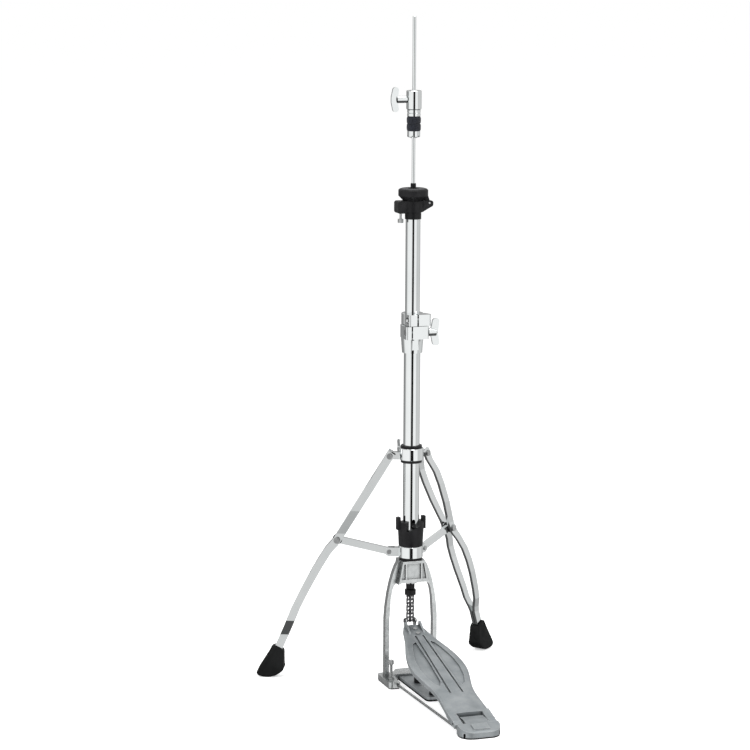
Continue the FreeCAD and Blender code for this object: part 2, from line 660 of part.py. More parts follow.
def make_chain():
    """Double roller chain from the coupler to the toe bracket."""
    pitch, top, thin = S["chain_pitch"], S["chain_top"], S["plate_thickness"]
    strand = thin * 4.3
    gap = 0.05
    half_roller = thin * 2.1
    inner = new_body("chain_inner_links")
    hole = S["chain_pin_radius"] + 0.1
    for side in (-1, 1):
        for face in (-1, 1):
            middle = side * strand + face * (half_roller + thin / 2)
            tag = "%d%d" % (side + 1, face + 1)
            for link in range(4):
                z = top - pitch * (2 * link + 1)
                grow(inner, "plate_%s_%d" % (tag, link), "YZ_Plane", middle - thin / 2,
                     middle + thin / 2, capsule(0, z, 0, z - pitch, 2.9))
    for link in range(8):
        z = top - pitch * (link + 1)
        for side in (-1, 1):
            grow(inner, "roller_%d_%d" % (link, side + 1), "YZ_Plane", side * strand - half_roller,
                 side * strand + half_roller, disc(0, z, 1.65))
    for number in range(8):
        z = top - pitch * (number + 1)
        radius = S["toe_pin_radius"] + 0.05 if number == 7 else hole
        cut(inner, "hole_%d" % number, "YZ_Plane", -9, 9, disc(0, z, radius))
    outer = new_body("chain_outer_links")
    reach = half_roller + thin + gap
    spans = [(-strand - reach - thin, -strand - reach), (-strand + reach, strand - reach),
             (strand + reach, strand + reach + thin)]
    for link in range(4):
        z = top - pitch * (2 * link)
        for number, (low, high) in enumerate(spans):
            grow(outer, "plate_%d_%d" % (link, number), "YZ_Plane", low, high,
                 capsule(0, z, 0, z - pitch, 2.9))
    end = strand + reach + thin + 0.4
    grow(outer, "top_pin", "YZ_Plane", -end - 2, end + 2, disc(0, top, S["chain_pin_radius"]))
    for number in range(1, 8):
        grow(outer, "pin_%d" % number, "YZ_Plane", -end, end,
             disc(0, top - pitch * number, S["chain_pin_radius"]))
    low = top - pitch * 8
    ear = thin * 9 + S["side_gap"] + 2.3
    grow(outer, "toe_pin", "YZ_Plane", -ear - 1.8, ear + 1.8, disc(0, low, S["toe_pin_radius"]))
    for tag, start, stop in (("left", -ear - 1.8, -ear - 0.4), ("right", ear + 0.4, ear + 1.8)):
        grow(outer, "toe_head_" + tag, "YZ_Plane", start, stop, disc(0, low, 3.8))


def make_coupler():
    """Round block on the rod's foot that holds the chain's top pin."""
    body = new_body("rod_coupler")
    top = S["chain_top"]
    grow(body, "block", "XY_Plane", top - 3.4, top + 5.6, disc(0, 0, 9.7))
    cut(body, "chain_slot", "XY_Plane", top - 4, top + 3.6, box(-7.3, 7.3, -4.3, 4.3))
    cut(body, "pin_hole", "YZ_Plane", -9, 9, disc(0, top, S["chain_pin_radius"] + S["running_gap"]))
    cut(body, "rod_hole", "XY_Plane", top + 3, top + 7, disc(0, 0, S["rod_radius"] + S["seat_gap"]))


def make_tubes():
    """The two tubes of the column; the lower one is slotted for the spring perch."""
    lower = new_body("lower_tube")
    outer, wall = S["lower_tube_radius"], S["tube_wall"]
    low, high = S["lower_tube_foot"] + 0.1, S["lower_tube_top"]
    spin(lower, "tube", [(outer - wall, low), (outer, low), (outer, high), (outer - wall, high)])
    reach = S["perch_pin_radius"] + S["side_gap"]
    cut(lower, "perch_slots", "XZ_Plane", -20, 20,
        capsule(0, S["perch_z"] - 3.6, 0, S["perch_z"] + 7.6, reach))
    outer = S["upper_tube_radius"]
    ring_part("upper_tube", outer - wall, outer, S["upper_tube_foot"], S["upper_tube_top"])
    ring_part("tube_washer", S["lower_tube_radius"] + 0.2, S["collar_radius"] - 1.5,
              S["arch_top"] + 0.1, S["arch_top"] + 3.8)


def leg_spots():
    return (("left", S["left_leg_angle"]), ("right", S["right_leg_angle"]))


def make_swivel_collar():
    """Lower leg collar with a fork for each brace; it turns on the lower tube."""
    body = new_body("swivel_collar")
    inner = S["lower_tube_radius"] + S["tube_gap"]
    low, high = S["arch_top"] + 4, S["arch_top"] + 24.5
    outer = S["collar_radius"]
    spin(body, "ring", [(inner, low), (outer - 1, low), (outer, low + 1), (outer, high - 1),
                        (outer - 1, high), (inner, high)])
    r, z = S["brace_pivot_r"], S["brace_pivot_z"]
    slit = S["brace_thickness"] / 2 + S["side_gap"]
    wide = slit + 3.4
    for tag, angle in leg_spots():
        grow_across(body, "fork_" + tag, angle, wide * 2, capsule(r - 18, z, r, z, 7.6))
    cut(body, "tube_hole", "XY_Plane", low - 1, high + 1, disc(0, 0, inner))
    for tag, angle in leg_spots():
        cut_across(body, "slit_" + tag, angle, slit * 2, box(r - 9, r + 12, z - 12, z + 12))
        cut_across(body, "pin_hole_" + tag, angle, 40, disc(r, z, S["leg_pin_radius"] * 0.8 + 0.02))


def make_brace_pins():
    """Rivets through the two forks of the swivel collar."""
    body = new_body("brace_pins")
    r, z = S["brace_pivot_r"], S["brace_pivot_z"]
    radius = S["leg_pin_radius"] * 0.8
    slit = S["brace_thickness"] / 2 + S["side_gap"]
    inside = slit + 3.4
    for tag, angle in leg_spots():
        grow_across(body, "pin_" + tag, angle, inside * 2 + 3, disc(r, z, radius))
        heads = add_sketch(body, "heads_%s_sketch" % tag, "XZ_Plane", as_size(0), [disc(r, z, 4)],
                           angle)
        for side, flip in (("near", False), ("far", True)):
            head = body.newObject("PartDesign::Pad", "head_%s_%s" % (tag, side))
            head.Profile = heads
            head.Reversed = flip
            bind(head, "Offset", 0)
            bind(head, "Length", inside + 1.5)
        heads.Visibility = False
        cut_across(body, "middle_" + tag, angle, inside * 2 + 0.2,
                   disc(r, z, 8), disc(r, z, radius))


def make_leg_collar():
    """Upper leg collar that slides on the lower tube, with a lug for each leg."""
    body = new_body("leg_collar")
    low, high = S["leg_pivot_z"] - 6.5, S["leg_pivot_z"] + 14.5
    inner = S["lower_tube_radius"] + S["tube_gap"] + 1.9
    outer = S["collar_radius"]
    spin(body, "ring", [(inner, low), (outer - 1, low), (outer, low + 1), (outer, high - 1),
                        (outer - 1, high), (inner, high)])
    r, z = S["leg_pivot_r"], S["leg_pivot_z"]
    wide = 6.1
    for tag, angle in leg_spots():
        grow_across(body, "lug_" + tag, angle, wide * 2, capsule(r - 17.5, z, r, z, 6.4))
    back = (S["left_leg_angle"] + S["right_leg_angle"]) / 2
    grow_across(body, "boss", back, 13, box(inner + 1, outer + 11, z - 4.5, z + 12.5))
    cut(body, "tube_hole", "XY_Plane", low - 10, high + 10, disc(0, 0, inner))
    for tag, angle in leg_spots():
        cut_across(body, "pin_hole_" + tag, angle, 40,
                   disc(r, z, S["leg_pin_radius"] + S["running_gap"]))
    hole = add_sketch(body, "bolt_hole_sketch", "XZ_Plane", as_size(0),
                      [outline((0, z + 4), (60, z + 4), (60, z + 4 + 3.06), (0, z + 4 + 3.06))], back)
    axis = hole.addGeometry(Part.LineSegment(FreeCAD.Vector(0, z.number + 4, 0),
                                             FreeCAD.Vector(60, z.number + 4, 0)), True)
    hold(hole, axis, 1, as_size(0), z + 4)
    hold(hole, axis, 2, as_size(60), z + 4)
    groove = body.newObject("PartDesign::Groove", "bolt_hole")
    groove.Profile = hole
    groove.ReferenceAxis = (hole, ["Axis0"])
    groove.Angle = 360
    hole.Visibility = False
    bush = S["lower_tube_radius"] + S["tube_gap"]
    turned_part("leg_collar_bush", [(bush, low - 4.5), (bush + 4, low - 4.5), (bush + 4, low - 0.3),
                                    (inner - 0.05, low - 0.3), (inner - 0.05, high + 0.3),
                                    (bush + 4, high + 0.3), (bush + 4, high + 4.5),
                                    (bush, high + 4.5)])


def make_wing(body, name, plane, low, high, centre, start, finish, reach):
    """Two blades, up and down from a screw's axis, between two stations along it."""
    slant = (finish - start) * 0.25
    grow(body, name, plane, low, high,
         outline((start, centre - 4.5), (start + slant, centre - reach), (finish, centre - reach),
                 (finish - slant * 0.6, centre - 4), (finish - slant * 0.6, centre + 4),
                 (finish, centre + reach), (start + slant, centre + reach), (start, centre + 4.5)))
    soften(body, name + "_tips", 5, along((0, 1, 0)),
           lambda edge: abs(centre_of(edge).z - as_size(centre).number) > as_size(reach).number - 1)


def make_leg_wing_bolt():
    """Wing bolt behind the leg collar, drawn along X and turned to the back."""
    body = new_body("leg_wing_bolt")
    z = S["leg_pivot_z"] + 4
    start = S["lower_tube_radius"] + S["tube_gap"] + 2.3
    seat = S["collar_radius"] + 11.4
    grow(body, "shank", "YZ_Plane", start, seat + 4, disc(0, z, 3))
    grow(body, "hub", "YZ_Plane", seat, seat + 12, disc(0, z, 5.5))
    make_wing(body, "wings", "XZ_Plane", -1.8, 1.8, z, seat + 5, seat + 20, 17)
    turn_about_column(body, (S["left_leg_angle"] + S["right_leg_angle"]) / 2)


def make_leg_bars(label, angle):
    """The two bowed strips of a leg: front outlines less all that lies off the side outline."""
    body = new_body(label)
    thick = S["bar_thickness"] / 2
    top, pinch = S["leg_pivot_z"], S["pinch_z"]
    line = [(9, top + 12), (9, top - 12), (12.5, top - 24), (15.5, top - 36), (16, top - 60),
            (13.5, pinch + 54), (9.6, pinch + 28), (7.2, pinch + 12), (7, pinch - 8),
            (10.5, pinch - 24), (14.8, pinch - 42), (16.2, pinch - 64), (15.6, pinch - 90),
            (13.2, pinch - 118), (10.6, pinch - 146), (5.2, pinch - 163), (3.1, pinch - 173), (3.1, 8)]
    strips = []
    for side in (-1, 1):
        near = [(side * (y - thick), z) for y, z in line]
        far = [(side * (y + thick), z) for y, z in reversed(line)]
        strips.append(outline(*(near + far)))
    grow(body, "fronts", "YZ_Plane", 10, S["foot_r"] + 40, *strips)
    half = S["bar_width"] / 2
    r, z = S["leg_pivot_r"], S["leg_pivot_z"]
    pr, pz = S["pinch_r"], S["pinch_z"]
    fr = S["foot_r"]
    middle = [(r - half * 0.517, z + half * 0.856), (pr - 2, pz + 3.4), (pr + 4, pz - 5.5),
              (pr + 10.5, pz - 12.6), (pr + 16.5, pz - 20), (pr + 30, pz - 42), (pr + 46, pz - 71),
              (pr + 60, pz - 98), (pr + 73, pz - 125), (fr - 44, 92), (fr - 32, 64), (fr - 11, 16)]
    middle = [(as_size(x), as_size(y)) for x, y in middle]
    left, right = strip_edges(middle, half)
    frame = box(-5, fr + 60, -20, z + 60)
    cut(body, "side", "XZ_Plane", -60, 60, frame, outline(*(left + right)))
    across = S["leg_pin_radius"]
    cut(body, "pin_holes", "XZ_Plane", -60, 60, disc(r, z, across + S["running_gap"]),
        disc(pr, pz, across + S["running_gap"]), disc(fr - 17.1, 30, across + S["seat_gap"]))
    turn_about_column(body, angle)


def strip_edges(middle, half):
    """The two edges of a strip about its middle line, each corner moved square to its bend."""
    left, right = [], []
    count = len(middle)
    for i, (x, y) in enumerate(middle):
        before = middle[max(i - 1, 0)]
        after = middle[min(i + 1, count - 1)]
        heading = math.atan2(after[1].number - before[1].number, after[0].number - before[0].number)
        side = (-math.sin(heading), math.cos(heading))
        left.append((x + half * side[0], y + half * side[1]))
        right.append((x - half * side[0], y - half * side[1]))
    return left, list(reversed(right))


def make_leg_rivets(label, angle):
    """Rivets of one leg: its pivot, the two at the brace joint and the one in the foot."""
    body = new_body(label)
    radius, head = S["leg_pin_radius"], 5.2
    thick = S["bar_thickness"]
    r, z = S["leg_pivot_r"], S["leg_pivot_z"]
    pr, pz = S["pinch_r"], S["pinch_z"]
    fr = S["foot_r"]
    outside = 9 + thick / 2
    grow(body, "pivot", "XZ_Plane", -outside - 1, outside + 1, disc(r, z, radius))
    pinch_in, pinch_out = 7 - thick / 2, 7 + thick / 2
    grow(body, "foot", "XZ_Plane", -9.8, 9.8, disc(fr - 17.1, 30, radius))
    for tag, side in (("near", -1), ("far", 1)):
        grow(body, "pinch_" + tag, "XZ_Plane", *ordered(side * (pinch_in + 0.15),
                                                        side * (pinch_out + 1)), disc(pr, pz, radius))
        grow(body, "pivot_head_" + tag, "XZ_Plane", *ordered(side * (outside + 0.1),
                                                             side * (outside + 2.2)), disc(r, z, head))
        grow(body, "pinch_head_" + tag, "XZ_Plane", *ordered(side * (pinch_out + 0.4),
                                                             side * (pinch_out + 2.6)),
             disc(pr, pz, head + 0.6))
    turn_about_column(body, angle)


def ordered(one, two):
    """The lower value first."""
    one, two = as_size(one), as_size(two)
    return (one, two) if one.number < two.number else (two, one)


def make_foot(label, angle):
    """Rubber foot that leans with the leg and narrows upward, with a slit for the two bars."""
    body = new_body(label)
    fr, wide, tall = S["foot_r"] - 6.4, S["foot_half_width"], S["foot_height"]
    lean = tall - 57
    profile = [(11, 1.4), (15.5, 3.4), (18, 8), (15.5, 14), (12, 20), (-4, 46 + lean), (-8, 54 + lean),
               (-11, 56.4 + lean), (-15, 57 + lean), (-27, 51 + lean), (-30, 46.5 + lean), (-30, 22),
               (-31, 18), (-29, 13), (-24, 8.4), (-15, 2.8), (-7, 0.6), (0, 0)]
    grow(body, "sole", "XZ_Plane", -wide, wide, outline(*[(fr + r, z) for r, z in profile]))
    flank = [(wide + 1, -1), (wide - 1.4, -1), (wide - 0.2, 4), (wide, 12), (wide - 1.4, 22),
             (wide - 4.6, tall + 2), (wide + 1, tall + 2)]
    cut(body, "flanks", "YZ_Plane", fr - 50, fr + 40, outline(*flank), outline(*mirrored(flank)))
    fr = S["foot_r"]
    half = S["bar_width"] / 2 + 0.35
    cut(body, "slit", "XZ_Plane", -6, 6,
        outline((fr - 44.6 - half, 89), (fr - 31.7 - half, 60.8), (fr - 10.7 - half, 12.3),
                (fr - 11.3 + half, 18.2), (fr - 32.3 + half, 67.2), (fr - 44.3 + half, 95),
                (fr - 44.6 - half, 95)))
    cut(body, "pin_hole", "XZ_Plane", -10, 10, disc(fr - 17.1, 30, S["leg_pin_radius"] + S["seat_gap"]))
    turn_about_column(body, angle)


def make_brace(label, angle):
    """Flat strip from the swivel collar out to the middle of a leg."""
    body = new_body(label)
    half = S["brace_thickness"] / 2
    r, z = S["brace_pivot_r"], S["brace_pivot_z"]
    pr, pz = S["pinch_r"], S["pinch_z"]
    grow(body, "strip", "XZ_Plane", -half, half, capsule(r, z, pr, pz, S["brace_width"] / 2))
    cut(body, "holes", "XZ_Plane", -9, 9, disc(r, z, S["leg_pin_radius"] * 0.8 + S["running_gap"]),
        disc(pr, pz, S["leg_pin_radius"] + S["seat_gap"]))
    turn_about_column(body, angle)
    tag = label.split("_")[0]
    spacer = new_body(tag + "_spacer")
    reach = 7 - S["bar_thickness"] / 2 - 0.12
    for side in (-1, 1):
        low, high = ordered(side * (half + 0.05), side * reach)
        grow(spacer, "washer_%d" % (side + 1), "XZ_Plane", low, high, disc(pr, pz, 8.5))
    grow(spacer, "core", "XZ_Plane", -reach, reach, disc(pr, pz, S["leg_pin_radius"]))
    turn_about_column(spacer, angle)


def make_tension_adjuster():
    """Turning cup with two ramps that lifts the spring perch."""
    cup = new_body("tension_cup")
    inner = S["lower_tube_radius"] + S["tube_gap"]
    low = S["arch_top"] + 24.9
    base = S["perch_z"] - 10
    top = base + S["ramp_rise"]
    spin(cup, "cup", [(inner, low), (20.3, low), (21, low + 1), (22.3, base), (22.6, top),
                      (inner, top)])
    for tag, side in (("left", -1), ("right", 1)):
        start, finish = ordered(side * 20, side * 26)
        grow(cup, "tab_" + tag, "XZ_Plane", -4.6, 4.6, box(start, finish, top - 14, top + 8))
    cut(cup, "tube_hole", "XY_Plane", low - 1, top + 10, disc(0, 0, inner))
    begin = 90 - S["ramp_angle"] * 0.375
    for number in range(2):
        profile = add_sketch(cup, "ramp_%d_sketch" % number, "XZ_Plane", as_size(0),
                             [box(inner - 2, 24, base, base + 40)], begin + 180 * number)
        ramp = cup.newObject("PartDesign::SubtractiveHelix", "ramp_%d" % number)
        ramp.Profile = profile
        ramp.ReferenceAxis = (profile, ["V_Axis"])
        ramp.Mode = "height-turns-angle"
        bind(ramp, "Turns", S["ramp_angle"] / 360)
        bind(ramp, "Height", S["ramp_rise"])
        profile.Visibility = False
    perch = turned_part("spring_perch", [(S["rod_radius"] + 0.6, S["perch_z"] - 4.5),
                                         (S["lower_tube_radius"] - S["tube_wall"] - 0.12, S["perch_z"] - 4.5),
                                         (S["lower_tube_radius"] - S["tube_wall"] - 0.12, S["perch_z"] + 4.5),
                                         (S["rod_radius"] + 0.6, S["perch_z"] + 4.5)])
    for tag, start, stop in (("front", -20.5, -4.2), ("back", 4.2, 20.5)):
        grow(perch, tag + "_pin", "XZ_Plane", start, stop,
             disc(0, S["perch_z"], S["perch_pin_radius"]))


def make_return_spring():
    body = new_body("return_spring")
    radius, wire = S["spring_radius"], S["spring_wire"] / 2
    low = S["perch_z"] + 4.6 + wire
    section = add_sketch(body, "wire_section", "XZ_Plane", as_size(0), [disc(radius, low, wire)])
    coil = body.newObject("PartDesign::AdditiveHelix", "coil")
    coil.Profile = section
    coil.ReferenceAxis = (section, ["V_Axis"])
    coil.Mode = "height-turns-angle"
    coil.Turns = 9
    bind(coil, "Height", S["spring_top"] - 0.1 - wire - low)
    section.Visibility = False


def make_pull_rods():
    """Two rods joined by a nut, and the stop that presses on the spring."""
    radius = S["rod_radius"]
    split = S["rod_split"]
    lower = turned_part("pull_rod_lower", [(0, S["rod_foot"]), (radius, S["rod_foot"]),
                                           (radius, split - 0.1), (0, split - 0.1)])
    upper = turned_part("pull_rod_upper", [(0, split + 0.1), (radius, split + 0.1),
                                           (radius, S["rod_top"] - 1), (radius - 1, S["rod_top"]),
                                           (0, S["rod_top"])])
    nut = new_body("rod_joint_nut")
    grow(nut, "nut", "XY_Plane", split - 12, split + 12, hexagon(0, 0, 6.6),
         disc(0, 0, radius + S["seat_gap"]))
    low = S["spring_top"]
    turned_part("spring_stop", [(radius + S["seat_gap"], low), (10.2, low), (10.2, low + 3),
                                (6, low + 4.6), (radius + S["seat_gap"], low + 4.6)])
    return lower, upper


def make_height_clamp():
    """Cast clamp on top of the lower tube that grips the upper one."""
    body = new_body("height_clamp")
    low, high, outer = S["clamp_foot"], S["clamp_top"], S["clamp_radius"]
    inner = S["lower_tube_radius"] + S["seat_gap"]
    bolt_y, bolt_z = S["clamp_bolt_y"], S["clamp_bolt_z"]
    spin(body, "barrel", [(inner, low), (inner + 3.2, low), (outer - 1, high - 22),
                          (outer, high - 22), (outer, high - 1), (outer - 1, high), (inner, high)])
    grow(body, "block", "XY_Plane", high - 22, high,
         outline((-22, bolt_y - 7), (19, bolt_y - 7), (19, -8), (-19, -8), (-22, -14)))
    soften(body, "block_corners", 3, along((0, 0, 1)), lambda edge: centre_of(edge).y < -30)
    top = S["lower_tube_top"]
    cut(body, "lower_hole", "XY_Plane", low - 1, top + 0.3, disc(0, 0, inner))
    cut(body, "liner_hole", "XY_Plane", top - 1, high + 1, disc(0, 0, S["upper_tube_radius"] + 2.8))
    cut(body, "split", "XY_Plane", high - 23, high + 1, box(-12.6, -10.2, bolt_y - 9, -9))
    cut(body, "bolt_hole", "YZ_Plane", -30, 30, disc(bolt_y, bolt_z, 3.1))
    cut(body, "nut_recess", "YZ_Plane", -23, -17.5, hexagon(bolt_y, bolt_z, 6.1))
    cut(body, "relief", "XZ_Plane", -22, -17, box(-6, 6, low + 6, high - 26))
    ring_part("clamp_liner", S["upper_tube_radius"] + S["tube_gap"],
              S["upper_tube_radius"] + 2.7, top + 0.4, high + 0.1)
    bolt = new_body("clamp_bolt")
    grow(bolt, "shank", "YZ_Plane", -18.5, 36, disc(bolt_y, bolt_z, 3))
    grow(bolt, "head", "YZ_Plane", -21.8, -17.7, hexagon(bolt_y, bolt_z, 5.8))
    nut = new_body("clamp_wing_nut")
    grow(nut, "hub", "YZ_Plane", 19.4, 33, disc(bolt_y, bolt_z, 7))
    make_wing(nut, "wings", "XZ_Plane", bolt_y - 2.3, bolt_y + 2.3, bolt_z, 24, 40, 23.5)
    cut(nut, "bolt_hole", "YZ_Plane", 19, 45, disc(bolt_y, bolt_z, 3 + S["running_gap"]))


def make_memory_lock():
    """Split ring with two ears that remembers the height of the upper tube."""
    body = new_body("memory_lock")
    low = S["clamp_top"] + 0.35
    high = low + S["lock_height"]
    outer = S["lock_radius"]
    inner = S["upper_tube_radius"] + S["running_gap"]
    spin(body, "ring", [(inner, low), (outer - 1, low), (outer, low + 1), (outer, high - 1),
                        (outer - 1, high), (inner, high)])
    grow(body, "ears", "XY_Plane", low, high,
         outline((-16, -9), (-19, -14), (-15, -30), (22, -30), (25, -25), (20, -10)))
    soften(body, "ear_corners", 3, along((0, 0, 1)), lambda edge: centre_of(edge).y < -20)
    cut(body, "tube_hole", "XY_Plane", low - 1, high + 1, disc(0, 0, inner))
    cut(body, "split", "XY_Plane", low - 1, high + 1, box(-1.4, 1.4, -40, -8))
    middle = low + S["lock_height"] / 2
    cut(body, "bolt_hole", "YZ_Plane", -30, 30, disc(-23, middle, 2.6))
    cut(body, "head_recess", "YZ_Plane", -30, -9.5, disc(-23, middle, 5.2))
    bolt = new_body("memory_lock_bolt")
    grow(bolt, "shank", "YZ_Plane", -10, 21, disc(-23, middle, 2.5))
    grow(bolt, "head", "YZ_Plane", -15.5, -9.7, disc(-23, middle, 4.6))
    grow(bolt, "key_square", "YZ_Plane", -20.5, -15, box(-25.2, -20.8, middle - 2.2, middle + 2.2))


def make_seat():
    """Holder on the upper tube, tilting seat cup, its felt, post, pivot pin and tilt screw."""
    holder = new_body("seat_holder")
    top = S["upper_tube_top"] + 7
    low = S["upper_tube_top"] - 24.5
    tube = S["upper_tube_radius"] + S["seat_gap"]
    grow(holder, "bridge", "XZ_Plane", -10, 10,
         outline((-31, top - 21), (-14, top - 21), (-14, top - 19), (14, top - 19), (33, top - 9),
                 (33, top), (-31, top)))
    soften(holder, "bridge_corners", 4, along((0, 1, 0)), lambda edge: abs(centre_of(edge).x) > 29)
    grow(holder, "shoulder", "XY_Plane", top - 19, top, disc(0, 0, tube + 5.3))
    grow(holder, "neck", "XY_Plane", low, top - 18, disc(0, 0, tube + 1.3))
    cut(holder, "tube_hole", "XY_Plane", low - 1, S["upper_tube_top"] + 0.2, disc(0, 0, tube))
    sleeve = S["sleeve_radius"]
    cut(holder, "post_hole", "XY_Plane", low, top + 1, disc(0, 0, sleeve + 0.2 + S["seat_gap"]))
    px, pz = S["seat_pivot_x"], S["seat_pivot_z"]
    cut(holder, "lug_slot", "XY_Plane", top - 22, top + 1, box(px - 6.5, px + 9, -3.4, 3.4))
    cut(holder, "pivot_hole", "XZ_Plane", -12, 12, disc(px, pz, 1.6 + S["seat_gap"]))
    cut(holder, "screw_hole", "XY_Plane", top - 25, top + 1,
        disc(S["tilt_screw_x"], 0, 2 + S["running_gap"]))
    cup = new_body("seat_cup")
    high, wide = S["seat_top"], S["seat_radius"]
    foot = top + 0.5
    spin(cup, "dish", [(8.2, foot), (18, foot), (wide, foot + 8), (wide, high - 3), (wide - 2, high - 1),
                       (wide - 3, high - 1), (wide - 3, high - 2.6), (8.2, high - 2.6)])
    grow(cup, "lug", "XZ_Plane", -3, 3,
         outline((px - 6, foot + 6), (px - 5, pz - 3), (px - 2, pz - 4.4), (px + 3, pz - 3.4),
                 (px + 4, pz), (px - 0.6, foot + 9)))
    cut(cup, "pivot_hole", "XZ_Plane", -12, 12, disc(px, pz, 1.6 + S["running_gap"]))
    pin = new_body("seat_pivot_pin")
    grow(pin, "pin", "XZ_Plane", -10.8, 10.8, disc(px, pz, 1.6))
    ring_part("seat_felt", 8.6, wide - 3.4, high - 2.5, high)
    screw = new_body("tilt_screw")
    grow(screw, "shank", "XY_Plane", top - 32, foot - 0.3, disc(S["tilt_screw_x"], 0, 2))
    grow(screw, "head", "XY_Plane", top - 37.5, top - 31, hexagon(S["tilt_screw_x"], 0, 5))
    inner = S["rod_radius"] + S["running_gap"]
    post_foot, tip, shoulder = S["upper_tube_top"] + 0.4, S["sleeve_top"], high + 0.6
    turned_part("cymbal_post", [(inner, post_foot), (sleeve + 0.2, post_foot), (sleeve + 0.2, shoulder),
                                (sleeve, shoulder), (sleeve, tip - 1), (sleeve - 0.8, tip),
                                (inner, tip)])


def make_clutch():
    """Clutch of the top cymbal: body with threaded tube, lock nuts, felts and bottom nut."""
    body = new_body("clutch_body")
    low, high, outer = S["clutch_foot"], S["clutch_top"], S["clutch_radius"]
    inner = S["rod_radius"] + S["running_gap"]
    tube = S["clutch_tube_radius"]
    spin(body, "body", [(inner, low - 49), (tube, low - 49), (tube, low), (outer - 1, low),
                        (outer, low + 1), (outer, high - 1), (outer - 1, high), (inner, high)])
    z = S["clutch_screw_z"]
    cut(body, "screw_hole", "YZ_Plane", -outer - 2, -inner - 0.1, disc(0, z, 3 + S["running_gap"]))
    ring = tube + S["seat_gap"]
    nuts = new_body("clutch_lock_nuts")
    for number, (start, stop) in enumerate(((low - 12, low - 6.2), (low - 6, low - 0.1))):
        spin(nuts, "nut_%d" % number, [(ring, start), (10.6, start), (11.4, start + 0.8),
                                       (11.4, stop - 0.8), (10.6, stop), (ring, stop)])
    felts = new_body("clutch_felts")
    for number, (start, stop) in enumerate(((low - 36.4, low - 24.4), (low - 24.2, low - 12.2))):
        spin(felts, "felt_%d" % number, [(ring + 0.1, start), (11.6, start), (12.3, start + 1),
                                         (12.3, stop - 1), (11.6, stop), (ring + 0.1, stop)])
    nut = new_body("clutch_bottom_nut")
    spin(nut, "nut", [(ring, low - 47), (10, low - 47), (11, low - 46), (11, low - 36.6),
                      (ring, low - 36.6)])
    for number, angle in enumerate((0, 60, 120)):
        cut_across(nut, "notch_%d" % number, as_size(angle), 3, box(-12, 12, low - 49, low - 44))
    screw = new_body("clutch_wing_screw")
    grow(screw, "shank", "YZ_Plane", -outer - 6, -inner - 0.3, disc(0, z, 3))
    grow(screw, "hub", "YZ_Plane", -outer - 18, -outer - 0.4, disc(0, z, 6))
    make_wing(screw, "wings", "XZ_Plane", -2, 2, z, -41, -27, 21)


def check_and_write():
    """Stop on a faulty object, then write each body's solids under its label."""
    doc.recompute()
    faulty = [item.Name for item in doc.Objects if "Invalid" in item.State or "Error" in item.State]
    if faulty:
        raise SystemExit("faulty objects: %s" % ", ".join(faulty))
    os.makedirs("parts", exist_ok=True)
    for body in [item for item in doc.Objects if item.TypeId == "PartDesign::Body"]:
        shape = body.Shape
        if shape.isNull() or not shape.isValid():
            raise SystemExit("faulty shape: %s" % body.Label)
        shape.exportStep("parts/%s.step" % body.Label)
        print("%-22s solids %2d volume %.0f" % (body.Label, len(shape.Solids), shape.Volume))


make_arch_frame()
make_base_pad()
make_guide_bush()
make_spur("spur_bolt_left", -1)
make_spur("spur_bolt_right", 1)
make_spur_nuts()
make_radius_rod()
make_stabiliser()
make_heel_plate()
make_hinge_pins()
make_footboard()
make_toe_bracket()
make_chain()
make_coupler()
make_tubes()
make_swivel_collar()
make_brace_pins()
make_leg_collar()
make_leg_wing_bolt()
for name, leg_angle in leg_spots():
    make_leg_bars(name + "_leg_bars", leg_angle)
    make_leg_rivets(name + "_leg_rivets", leg_angle)
    make_foot(name + "_foot", leg_angle)
    make_brace(name + "_brace", leg_angle)
make_tension_adjuster()
make_return_spring()
make_pull_rods()
make_height_clamp()
make_memory_lock()
make_seat()
make_clutch()
check_and_write()
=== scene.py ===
import json
import math

import bpy
from mathutils import Matrix, Vector, noise


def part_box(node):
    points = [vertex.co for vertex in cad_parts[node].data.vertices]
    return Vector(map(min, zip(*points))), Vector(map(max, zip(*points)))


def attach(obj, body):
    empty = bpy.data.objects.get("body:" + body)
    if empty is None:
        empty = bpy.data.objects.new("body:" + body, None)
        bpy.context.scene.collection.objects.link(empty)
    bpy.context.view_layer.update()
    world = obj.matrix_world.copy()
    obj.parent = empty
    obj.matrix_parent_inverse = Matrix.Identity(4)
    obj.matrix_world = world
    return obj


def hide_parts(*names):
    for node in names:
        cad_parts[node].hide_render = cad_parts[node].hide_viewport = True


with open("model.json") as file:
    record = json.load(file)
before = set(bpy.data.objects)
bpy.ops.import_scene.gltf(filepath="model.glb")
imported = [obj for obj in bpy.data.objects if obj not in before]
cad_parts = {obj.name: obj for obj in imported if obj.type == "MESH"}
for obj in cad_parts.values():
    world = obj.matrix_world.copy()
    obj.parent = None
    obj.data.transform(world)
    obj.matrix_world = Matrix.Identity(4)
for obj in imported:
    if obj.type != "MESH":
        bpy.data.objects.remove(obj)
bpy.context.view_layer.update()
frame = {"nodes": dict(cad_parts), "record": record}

MM = 0.001


def node_of(name):
    """The CAD object of one node."""
    return frame["nodes"][name]


# ---------------------------------------------------------------- camera

